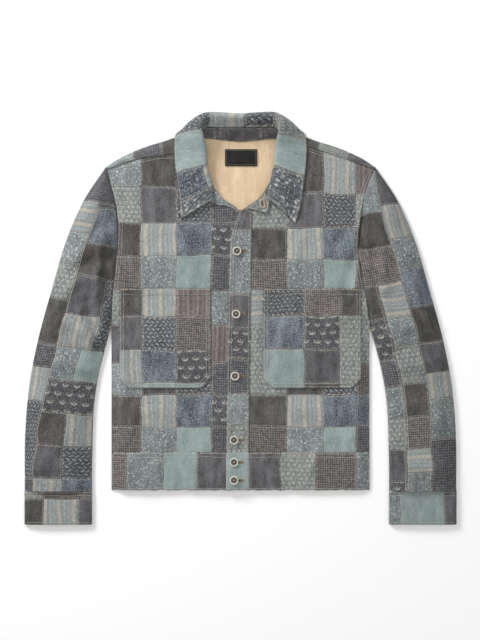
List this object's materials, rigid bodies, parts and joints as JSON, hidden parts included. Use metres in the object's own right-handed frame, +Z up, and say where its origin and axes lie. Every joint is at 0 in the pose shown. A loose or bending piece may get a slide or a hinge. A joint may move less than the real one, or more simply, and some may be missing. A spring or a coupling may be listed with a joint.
{
  "type": "patched boro jacket",
  "caption": "Short patchwork work jacket with a pointed collar, chest pockets, waistband and cuffs, buttoned and laid flat on its back with its neck open.",
  "frame": {"origin": "middle of the bounding box, on the surface that the jacket lies on", "axes": "+X towards the wearer's left sleeve, +Y from the hem towards the collar, +Z up from the surface"},
  "size_m": [0.751, 0.7156, 0.0307],
  "materials": {
    "patchwork": "printed and patched cotton twill, washed; cream on the inner face",
    "label": "plain woven damask label",
    "button": "moulded, aged cream ring with a dark dished middle"
  },
  "bodies": {
    "root": {"back": "patchwork", "front_right": "patchwork", "front_left": "patchwork", "placket": "patchwork", "pocket_right": "patchwork", "pocket_left": "patchwork", "waistband_back": "patchwork", "waistband_right": "patchwork", "waistband_left": "patchwork", "sleeve_right": "patchwork", "sleeve_left": "patchwork", "cuff_right": "patchwork", "cuff_left": "patchwork", "collar_stand": "patchwork", "collar_fall": "patchwork", "neck_label": "label", "button_1": "button", "button_2": "button", "button_3": "button", "button_4": "button", "button_5": "button", "button_6": "button"}
  },
  "joints": []
}
